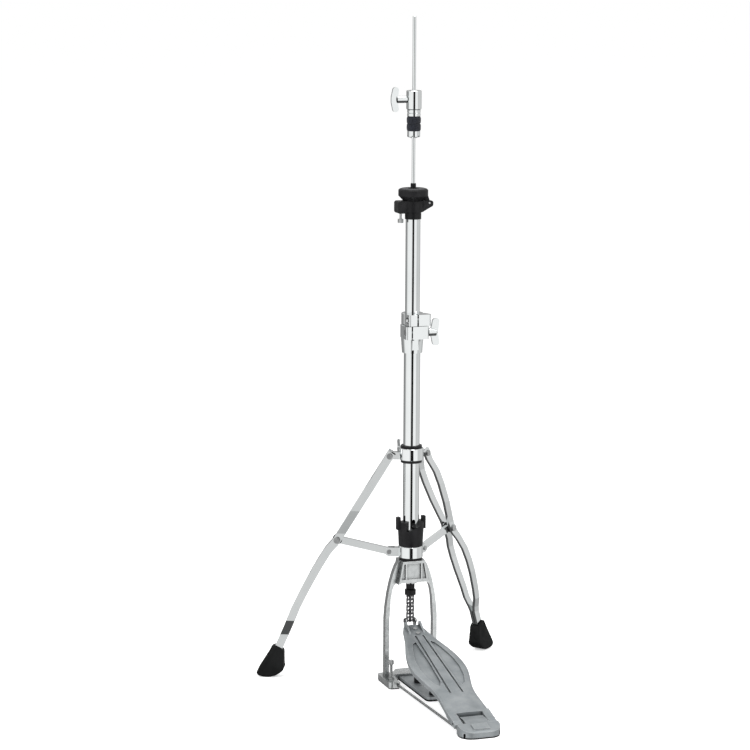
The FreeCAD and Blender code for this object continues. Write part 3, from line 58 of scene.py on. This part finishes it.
def make_camera():
    """Camera to the left of the pedal, looking ten degrees down. Answers with its bearing."""
    yaw, pitch, roll = math.radians(18.8), math.radians(10.0), math.radians(0.30)
    # Metres back from the column, to its left, and up from the floor.
    away, aside, height = 4.828, 0.0635, 1.394
    forward = Vector((math.sin(yaw), math.cos(yaw), 0))
    right = Vector((math.cos(yaw), -math.sin(yaw), 0))
    spot = -(forward * away + right * aside)
    spot.z = height
    look = Vector((forward.x * math.cos(pitch), forward.y * math.cos(pitch), -math.sin(pitch)))
    up = right.cross(look)
    turn = Matrix((right, up, -look)).transposed().to_4x4()
    data = bpy.data.cameras.new("camera")
    data.lens = 136.7
    data.sensor_width = 36.0
    data.clip_end = 100
    camera = bpy.data.objects.new("camera", data)
    camera.matrix_world = Matrix.Translation(spot) @ turn @ Matrix.Rotation(roll, 4, "Z")
    bpy.context.collection.objects.link(camera)
    bpy.context.scene.camera = camera
    return yaw


# ---------------------------------------------------------------- materials

NOISE_ROUGHNESS = 0.55
EDGE_RANGE = (0.80, 0.99)
# Occlusion range over which the painted shade in hollows fades in.
HOLLOW_SHADE_RANGE = (0.45, 0.95)


class Nodes:
    """A short way to wire one material's nodes."""

    def __init__(self, name):
        self.material = bpy.data.materials.new(name)
        self.material.use_nodes = True
        self.tree = self.material.node_tree
        self.shader = self.tree.nodes["Principled BSDF"]
        self.place = self.add("ShaderNodeTexCoord").outputs["Object"]

    def add(self, kind, **settings):
        """A new node with its settings."""
        node = self.tree.nodes.new(kind)
        for key, value in settings.items():
            setattr(node, key, value)
        return node

    def join(self, source, target):
        """Wire an output to an input."""
        self.tree.links.new(source, target)

    def set(self, **values):
        """Plain values of the shader's inputs, with _ for a space."""
        for key, value in values.items():
            self.shader.inputs[key.replace("_", " ")].default_value = value

    def noise(self, scale, detail=4.0, stretch=(1, 1, 1)):
        """Noise over the object's own space, stretched along its axes."""
        mapping = self.add("ShaderNodeMapping")
        mapping.inputs["Scale"].default_value = stretch
        self.join(self.place, mapping.inputs["Vector"])
        node = self.add("ShaderNodeTexNoise")
        node.inputs["Scale"].default_value = scale
        node.inputs["Detail"].default_value = detail
        node.inputs["Roughness"].default_value = NOISE_ROUGHNESS
        self.join(mapping.outputs["Vector"], node.inputs["Vector"])
        return node.outputs["Fac"]

    def edges(self, radius):
        """1 along sharp edges and 0 on flats, within a radius of the edge."""
        bevel = self.add("ShaderNodeBevel", samples=4)
        bevel.inputs["Radius"].default_value = radius
        geometry = self.add("ShaderNodeNewGeometry")
        dot = self.add("ShaderNodeVectorMath", operation="DOT_PRODUCT")
        self.join(bevel.outputs["Normal"], dot.inputs[0])
        self.join(geometry.outputs["Normal"], dot.inputs[1])
        return self.greys(dot.outputs["Value"], 1.0, 0.0, *EDGE_RANGE)

    def hollow_shade(self, reach):
        """Mask for painted shade: 1 deep in grooves and corners and 0 in the open, by how shut in a
        point is.
        """
        shade = self.add("ShaderNodeAmbientOcclusion", samples=6)
        shade.inputs["Distance"].default_value = reach
        return self.greys(shade.outputs["AO"], 1.0, 0.0, *HOLLOW_SHADE_RANGE)

    def ramp(self, source, low, high, start=0.35, stop=0.65):
        """Turn a 0 to 1 pattern into a blend of two colours."""
        node = self.add("ShaderNodeValToRGB")
        for element, colour, place in zip(node.color_ramp.elements, (low, high), (start, stop)):
            element.position = place
            element.color = (*colour, 1)
        self.join(source, node.inputs["Fac"])
        return node.outputs["Color"]

    def greys(self, source, low, high, start=0.35, stop=0.65):
        """Turn a 0 to 1 pattern into a blend of two greys."""
        return self.ramp(source, (low, low, low), (high, high, high), start, stop)

    def mix(self, factor, one, two):
        """Blend a wired colour with a plain one by a pattern."""
        node = self.add("ShaderNodeMix", data_type="RGBA")
        self.join(factor, node.inputs["Factor"])
        self.join(one, node.inputs["A"])
        node.inputs["B"].default_value = (*two, 1)
        return node.outputs["Result"]

    def bump(self, source, strength, distance, under=None):
        """Surface relief from a pattern, on top of an earlier one if given."""
        node = self.add("ShaderNodeBump")
        node.inputs["Strength"].default_value = strength
        node.inputs["Distance"].default_value = distance
        self.join(source, node.inputs["Height"])
        if under is not None:
            self.join(under, node.inputs["Normal"])
        return node.outputs["Normal"]

    def colour(self, source):
        self.join(source, self.shader.inputs["Base Color"])

    def roughness(self, source):
        self.join(source, self.shader.inputs["Roughness"])

    def normal(self, source):
        self.join(source, self.shader.inputs["Normal"])


def chrome():
    """Polished plate with faint haze, hairlines and a slow ripple."""
    m = Nodes("chrome_plate")
    m.set(Metallic=1.0)
    m.colour(m.ramp(m.noise(9), (0.735, 0.76, 0.76), (0.80, 0.82, 0.82)))
    m.roughness(m.greys(m.noise(55, 6), 0.04, 0.10, 0.4, 0.75))
    ripple = m.bump(m.noise(14, 2), 0.05, 0.002)
    m.normal(m.bump(m.noise(900, 3, (1, 1, 0.15)), 0.03, 0.0002, ripple))
    return m.material


def zinc():
    """Zinc plated steel with fine drawing marks."""
    m = Nodes("zinc_steel")
    m.set(Metallic=1.0)
    m.colour(m.ramp(m.noise(60, 5), (0.42, 0.43, 0.43), (0.60, 0.61, 0.61)))
    m.roughness(m.greys(m.noise(140, 5), 0.2, 0.38))
    m.normal(m.bump(m.noise(700, 4, (1, 1, 0.1)), 0.12, 0.0003))
    return m.material


def casting():
    """Tumbled aluminium casting: soft grain, faint stains, painted shade in the hollows, edges rubbed
    bright.
    """
    m = Nodes("cast_aluminium")
    m.set(Metallic=1.0)
    skin = m.ramp(m.noise(35, 6), (0.50, 0.52, 0.52), (0.64, 0.66, 0.66))
    # Painted shade: the skin goes dark deep in hollows and corners, where shade falls.
    skin = m.mix(m.hollow_shade(0.007), skin, (0.20, 0.205, 0.205))
    m.colour(m.mix(m.edges(0.0016), skin, (0.86, 0.87, 0.87)))
    m.roughness(m.greys(m.noise(180, 5), 0.20, 0.36))
    grain = m.bump(m.noise(1100, 4), 0.07, 0.0003)
    m.normal(m.bump(m.noise(60, 3), 0.08, 0.0012, grain))
    return m.material


def pedal_paint():
    """Silver grey paint over a cast skin, thin along the edges, with rubbed patches and painted shade in
    the grooves.
    """
    m = Nodes("pedal_paint")
    m.set(Metallic=0.6)
    coat = m.ramp(m.noise(26, 7), (0.235, 0.255, 0.265), (0.33, 0.35, 0.36))
    # Painted shade: the coat goes near black deep in grooves and corners, where shade falls.
    coat = m.mix(m.hollow_shade(0.006), coat, (0.07, 0.08, 0.085))
    m.colour(m.mix(m.edges(0.0012), coat, (0.50, 0.52, 0.53)))
    m.roughness(m.greys(m.noise(90, 6), 0.34, 0.50))
    grain = m.bump(m.noise(1500, 3), 0.2, 0.0003)
    m.normal(m.bump(m.noise(150, 4), 0.08, 0.0006, grain))
    return m.material


def plastic():
    """Black moulding with a spark-eroded grain."""
    m = Nodes("black_plastic")
    m.colour(m.ramp(m.noise(40, 5), (0.004, 0.004, 0.0045), (0.010, 0.010, 0.011)))
    m.roughness(m.greys(m.noise(120, 5), 0.34, 0.52))
    m.set(Specular_IOR_Level=0.22)
    m.normal(m.bump(m.noise(1300, 3), 0.22, 0.0003))
    return m.material


def rubber():
    """Moulded rubber with bloom and small pits."""
    m = Nodes("black_rubber")
    m.colour(m.ramp(m.noise(30, 6), (0.003, 0.0033, 0.0033), (0.008, 0.0085, 0.0085)))
    m.roughness(m.greys(m.noise(70, 5), 0.5, 0.72))
    m.set(Specular_IOR_Level=0.14)
    grain = m.bump(m.noise(900, 3), 0.3, 0.0004)
    m.normal(m.bump(m.noise(220, 2), 0.1, 0.0006, grain))
    return m.material


def chain_steel():
    """Oiled chain steel, darker and lighter in random patches."""
    m = Nodes("chain_steel")
    m.set(Metallic=1.0)
    m.colour(m.ramp(m.noise(160, 5), (0.03, 0.03, 0.032), (0.20, 0.20, 0.21)))
    m.roughness(m.greys(m.noise(240, 4), 0.25, 0.5))
    m.normal(m.bump(m.noise(900, 3), 0.12, 0.0003))
    return m.material


def felt(name, dark, light):
    """Pressed wool: fine fibre bump, sheen and mottled colour."""
    m = Nodes(name)
    m.colour(m.ramp(m.noise(420, 8), dark, light))
    m.set(Roughness=0.95)
    m.shader.inputs["Sheen Weight"].default_value = 0.06
    m.shader.inputs["Sheen Roughness"].default_value = 0.6
    fibre = m.bump(m.noise(1700, 6), 0.7, 0.0006)
    m.normal(m.bump(m.noise(300, 4), 0.4, 0.0010, fibre))
    return m.material


MATERIALS = {
    "chrome": chrome(),
    "steel": zinc(),
    "cast_aluminium": casting(),
    "pedal_grey": pedal_paint(),
    "plastic_black": plastic(),
    "rubber_black": rubber(),
    "chain_steel": chain_steel(),
    "felt_black": felt("felt_black", (0.003, 0.004, 0.007), (0.012, 0.014, 0.022)),
    "felt_grey": felt("felt_grey", (0.03, 0.03, 0.033), (0.08, 0.08, 0.085)),
}

SOFT_EDGES = {
    "chrome": 0.6 * MM, "cast_aluminium": 1.3 * MM, "pedal_grey": 0.8 * MM,
    "plastic_black": 0.5 * MM, "rubber_black": 0.6 * MM, "steel": 0.3 * MM,
}
NO_BEVEL = {"lower_tube", "upper_tube", "pull_rod_upper", "pull_rod_lower", "return_spring",
            "radius_rod", "base_pad", "left_foot", "right_foot"}


def dress_nodes():
    """Give every CAD node its slot's material and rounded edges."""
    for entry in frame["record"]["subparts"]:
        name, slot = entry["node"], entry["material_slot"]
        thing = node_of(name)
        thing.data.materials.clear()
        thing.data.materials.append(MATERIALS[slot])
        if slot in SOFT_EDGES and name not in NO_BEVEL:
            bevel = thing.modifiers.new("edges", "BEVEL")
            bevel.width = SOFT_EDGES[slot]
            bevel.segments = 3
            bevel.limit_method = "ANGLE"
            bevel.angle_limit = math.radians(38)


FOOT_VOXEL = 0.9 * MM
FOOT_SMOOTHING = 14


def round_feet():
    """Melt the facets of the rubber feet into one moulded skin."""
    for name in ("left_foot", "right_foot"):
        foot = node_of(name)
        skin = foot.modifiers.new("skin", "REMESH")
        skin.mode = "VOXEL"
        skin.voxel_size = FOOT_VOXEL
        skin.use_smooth_shade = True
        calm = foot.modifiers.new("calm", "SMOOTH")
        calm.factor = 0.5
        calm.iterations = FOOT_SMOOTHING


# ---------------------------------------------------------------- felts and screws

FELT_STEPS = 160
FELT_FUZZ = 0.22 * MM
FELT_GRAIN = 700.0
FELT_GAP = 0.15 * MM
FELT_CROWN = 0.35 * MM
FELT_CLEARANCE = 0.25 * MM


def lathe_felt(name, profile, centre):
    """Turn a closed outline of radius and height pairs about an upright axis, with a fuzzy skin."""
    verts, faces = [], []
    count = len(profile)
    for i in range(FELT_STEPS):
        angle = 2 * math.pi * i / FELT_STEPS
        out = Vector((math.cos(angle), math.sin(angle), 0))
        for r, z in profile:
            spot = Vector((r * math.cos(angle), r * math.sin(angle), z))
            push = FELT_FUZZ * noise.noise(spot * FELT_GRAIN)
            verts.append(tuple(spot + out * push + Vector((0, 0, push * 0.5)) + Vector(centre)))
    for i in range(FELT_STEPS):
        a, b = i * count, ((i + 1) % FELT_STEPS) * count
        for j in range(count):
            k = (j + 1) % count
            faces.append((a + j, b + j, b + k, a + k))
    return new_piece(name, verts, faces)


def new_piece(name, verts, faces):
    """A smooth shaded mesh object."""
    mesh = bpy.data.meshes.new(name)
    mesh.from_pydata(verts, [], faces)
    mesh.polygons.foreach_set("use_smooth", [True] * len(faces))
    mesh.update()
    piece = bpy.data.objects.new(name, mesh)
    bpy.context.collection.objects.link(piece)
    return piece


def washer_outline(inner, outer, low, high, corner, crown):
    """Outline of a pressed felt: round corners and a side that swells by the crown."""
    points = []
    for cx, cz, start in ((outer - corner, low + corner, -90), (outer - corner, high - corner, 0)):
        for step in range(5):
            angle = math.radians(start + 22.5 * step)
            points.append((cx + corner * math.cos(angle), cz + corner * math.sin(angle)))
    middle = (low + high) / 2
    side = [(outer + crown * (1 - ((z - middle) / (high - middle)) ** 2), z)
            for z in (low + (high - low) * k / 8 for k in range(2, 7))]
    points[5:5] = side
    top = [(outer - corner - (outer - corner - inner) * k / 6, high) for k in range(1, 6)]
    foot = [(inner + (outer - corner - inner) * k / 6, low) for k in range(1, 6)]
    bore = [(inner, high - (high - low) * k / 6) for k in range(0, 7)]
    return points + top + bore + foot


def felt_piece(name, node, body, slot, count, inner, share):
    """Felt washers stacked in the space of their CAD solid; share is corner radius over thickness."""
    low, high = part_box(node)
    outer = (high[0] - low[0]) / 2
    centre = ((low[0] + high[0]) / 2, (low[1] + high[1]) / 2, 0)
    tall = (high[2] - low[2]) / count
    for number in range(count):
        foot = low[2] + tall * number + FELT_GAP
        top = low[2] + tall * (number + 1) - FELT_GAP
        side = outer - FELT_CROWN - FELT_CLEARANCE
        outline = washer_outline(inner, side, foot, top, tall * share, FELT_CROWN)
        tag = name if count == 1 else "%s_%d" % (name, number + 1)
        piece = lathe_felt(tag, outline, centre)
        piece.data.materials.append(MATERIALS[slot])
        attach(piece, body)
    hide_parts(node)


def make_felts():
    """The two clutch felts and the seat felt."""
    felt_piece("clutch_felt", "clutch_felts", "clutch", "felt_black", 2, 5.2 * MM, 0.12)
    felt_piece("seat_pad", "seat_felt", "seat", "felt_grey", 1, 8.8 * MM, 0.3)


SPUR_STEPS = 72
THREAD_RADIUS = 2.7 * MM
THREAD_PITCH = 1.0 * MM
THREAD_DEPTH = 0.35 * MM
THREAD_LEVELS = 240
THREAD_START = 4 * MM
HEAD_TALL = 8 * MM
POINT_RADIUS = 0.15 * MM
KNURL_DEPTH = 0.18 * MM
# How far the head is trimmed inward, from its underside up.
HEAD_TRIM = (0.5 * MM, 0.0, 0.0, 0.35 * MM, 1.2 * MM)


def thread_radius(z, angle):
    """Radius of the V thread at a height and a turn."""
    phase = (z / THREAD_PITCH - angle / (2 * math.pi)) % 1.0
    return THREAD_RADIUS - THREAD_DEPTH * abs(2 * phase - 1)


def spur_levels(low, top):
    """Heights of the rings of a spur bolt: point, thread, then head."""
    neck = top - HEAD_TALL
    thread = [THREAD_START + (neck - THREAD_START) * k / THREAD_LEVELS for k in range(THREAD_LEVELS + 1)]
    head = [neck + 0.5 * MM, neck + 1.2 * MM, top - 1.6 * MM, top - 0.6 * MM, top]
    return [low] + thread + head


def spur_radius(number, z, i, head_radius):
    """Radius of one point of a spur bolt: ring number, height and step round it."""
    if number == 0:
        return POINT_RADIUS
    if number <= THREAD_LEVELS + 1:
        return thread_radius(z, 2 * math.pi * i / SPUR_STEPS)
    trim = HEAD_TRIM[number - THREAD_LEVELS - 2]
    return head_radius - trim - (KNURL_DEPTH if i % 2 and trim == 0 else 0)


def make_spur(side):
    """Spur bolt with a cut thread, a pointed tip and a knurled head."""
    node, body = "spur_bolt_" + side, "spur_" + side
    low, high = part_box(node)
    x, y = (low[0] + high[0]) / 2, (low[1] + high[1]) / 2
    head_radius = (high[0] - low[0]) / 2
    levels = spur_levels(low[2], high[2])
    steps, verts, faces = SPUR_STEPS, [], []
    for number, z in enumerate(levels):
        for i in range(steps):
            angle = 2 * math.pi * i / steps
            r = spur_radius(number, z, i, head_radius)
            verts.append((x + r * math.cos(angle), y + r * math.sin(angle), z))
    for level in range(len(levels) - 1):
        for i in range(steps):
            a, b = level * steps, (level + 1) * steps
            k = (i + 1) % steps
            faces.append((a + i, a + k, b + k, b + i))
    faces.append(tuple(reversed(range(steps))))
    last = (len(levels) - 1) * steps
    faces.append(tuple(last + i for i in range(steps)))
    piece = new_piece("spur_screw_" + side, verts, faces)
    piece.data.polygons.foreach_set("use_smooth", [False] * len(faces))
    piece.data.materials.append(MATERIALS["steel"])
    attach(piece, body)
    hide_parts(node)


# ---------------------------------------------------------------- studio

def flat_material(name, colour, glow):
    """A matt paint with an even glow, for the floor."""
    m = Nodes(name)
    m.set(Roughness=0.9)
    m.shader.inputs["Base Color"].default_value = (*colour, 1)
    m.shader.inputs["Specular IOR Level"].default_value = 0.0
    m.shader.inputs["Emission Color"].default_value = (1, 1, 1, 1)
    m.shader.inputs["Emission Strength"].default_value = glow
    return m.material


def area_light(name, spot, target, size, power, mirrored=True):
    """A rectangular lamp aimed at target; mirrored is whether metal reflects it."""
    data = bpy.data.lights.new(name, "AREA")
    data.shape = "RECTANGLE"
    data.size, data.size_y = size
    data.energy = power
    light = bpy.data.objects.new(name, data)
    light.location = spot
    light.visible_glossy = mirrored
    light.rotation_euler = (Vector(target) - Vector(spot)).to_track_quat("-Z", "Y").to_euler()
    bpy.context.collection.objects.link(light)


FLOOR_HALF = 60
FLOOR_DROP = 0.5 * MM
FLOOR_PAINT = (0.90, 0.90, 0.90)
FLOOR_GLOW = 0.46


def make_floor():
    """A wide pale floor just under the stand, hidden from reflections."""
    mesh = bpy.data.meshes.new("floor")
    corners = [(x * FLOOR_HALF, y * FLOOR_HALF, 0) for x, y in ((-1, -1), (1, -1), (1, 1), (-1, 1))]
    mesh.from_pydata(corners, [], [(0, 1, 2, 3)])
    floor = bpy.data.objects.new("floor", mesh)
    floor.location.z = -FLOOR_DROP
    floor.visible_glossy = False
    mesh.materials.append(flat_material("floor_paint", FLOOR_PAINT, FLOOR_GLOW))
    bpy.context.collection.objects.link(floor)


# What polished metal sees round the stand: bearing in degrees, which grows to the camera's left,
# and brightness there.
ROUND_ABOUT = [
    (-180, 0.42), (-122, 0.62), (-116, 0.78), (-104, 0.74), (-66, 0.68), (-56, 1.08), (-22, 1.08),
    (-18, 0.01), (6.5, 0.01), (8.5, 0.74), (14, 0.78), (18, 1.10), (82, 1.05), (106, 0.34), (165, 0.28),
    (176, 0.70),
]


def surround_tones(tree, yaw):
    """Brightness of the reflected surround by direction: bands, soft grey above and dark below."""
    def add(kind, **settings):
        node = tree.nodes.new(kind)
        for key, value in settings.items():
            setattr(node, key, value)
        return node

    place = add("ShaderNodeTexCoord").outputs["Generated"]
    turn = add("ShaderNodeVectorRotate", rotation_type="Z_AXIS")
    turn.inputs["Angle"].default_value = yaw
    tree.links.new(place, turn.inputs["Vector"])
    back = add("ShaderNodeVectorMath", operation="SCALE")
    back.inputs["Scale"].default_value = -1
    tree.links.new(turn.outputs["Vector"], back.inputs[0])
    parts = add("ShaderNodeSeparateXYZ")
    tree.links.new(back.outputs["Vector"], parts.inputs["Vector"])
    bearing = add("ShaderNodeMath", operation="ARCTAN2")
    tree.links.new(parts.outputs["X"], bearing.inputs[0])
    tree.links.new(parts.outputs["Y"], bearing.inputs[1])
    share = add("ShaderNodeMapRange")
    share.inputs["From Min"].default_value = -math.pi
    share.inputs["From Max"].default_value = math.pi
    tree.links.new(bearing.outputs["Value"], share.inputs["Value"])
    bands = add("ShaderNodeValToRGB")
    stops = bands.color_ramp.elements
    while len(stops) < len(ROUND_ABOUT):
        stops.new(0.5)
    for stop, (angle, tone) in zip(stops, ROUND_ABOUT):
        stop.position = (angle + 180) / 360
        stop.color = (tone, tone, tone, 1)
    tree.links.new(share.outputs["Result"], bands.inputs["Fac"])
    tones = bands.outputs["Color"]
    # The direction is turned back, so below is positive here.
    for start, stop, tone in ((-0.30, -0.50, 0.78), (0.42, 0.62, 0.10)):
        fade = add("ShaderNodeMapRange", interpolation_type="SMOOTHSTEP")
        fade.inputs["From Min"].default_value = start
        fade.inputs["From Max"].default_value = stop
        tree.links.new(parts.outputs["Z"], fade.inputs["Value"])
        blend = add("ShaderNodeMix", data_type="RGBA")
        tree.links.new(fade.outputs["Result"], blend.inputs["Factor"])
        tree.links.new(tones, blend.inputs["A"])
        blend.inputs["B"].default_value = (tone, tone, tone, 1)
        tones = blend.outputs["Result"]
    return tones


LIGHT_LEVEL = 0.6
SEEN_LEVEL = 1.0


def make_surround(yaw):
    """White surround to the eye, a softer one as a light, and bands of tone in reflections."""
    world = bpy.data.worlds.new("surround")
    world.use_nodes = True
    tree = world.node_tree
    path = tree.nodes.new("ShaderNodeLightPath")
    plain = tree.nodes.new("ShaderNodeMapRange")
    plain.inputs["To Min"].default_value = LIGHT_LEVEL
    plain.inputs["To Max"].default_value = SEEN_LEVEL
    tree.links.new(path.outputs["Is Camera Ray"], plain.inputs["Value"])
    choice = tree.nodes.new("ShaderNodeMix")
    choice.data_type = "RGBA"
    tree.links.new(path.outputs["Is Glossy Ray"], choice.inputs["Factor"])
    tree.links.new(plain.outputs["Result"], choice.inputs["A"])
    tree.links.new(surround_tones(tree, yaw), choice.inputs["B"])
    tree.links.new(choice.outputs["Result"], tree.nodes["Background"].inputs["Color"])
    bpy.context.scene.world = world


def make_studio(yaw):
    """Pale floor, white surround and soft lights."""
    make_floor()
    make_surround(yaw)

    def around(angle, reach, z):
        heading = yaw + math.radians(angle)
        return (-math.sin(heading) * reach, -math.cos(heading) * reach, z)

    area_light("key", around(50, 3.2, 2.6), (0, 0, 0.5), (1.4, 1.8), 90, False)
    area_light("fill", around(-60, 3.4, 2.2), (0, 0, 0.5), (2.0, 2.4), 20)
    area_light("low", (0.1, -0.85, 0.7), (0.02, -0.32, 0.05), (0.5, 0.4), 3.5, False)
    area_light("top", (0.2, 0.3, 3.4), (0, 0, 0.4), (2.0, 2.0), 30)
    bpy.context.scene.view_settings.view_transform = "Standard"


yaw = make_camera()
dress_nodes()
round_feet()
make_felts()
for side in ("left", "right"):
    make_spur(side)
make_studio(yaw)
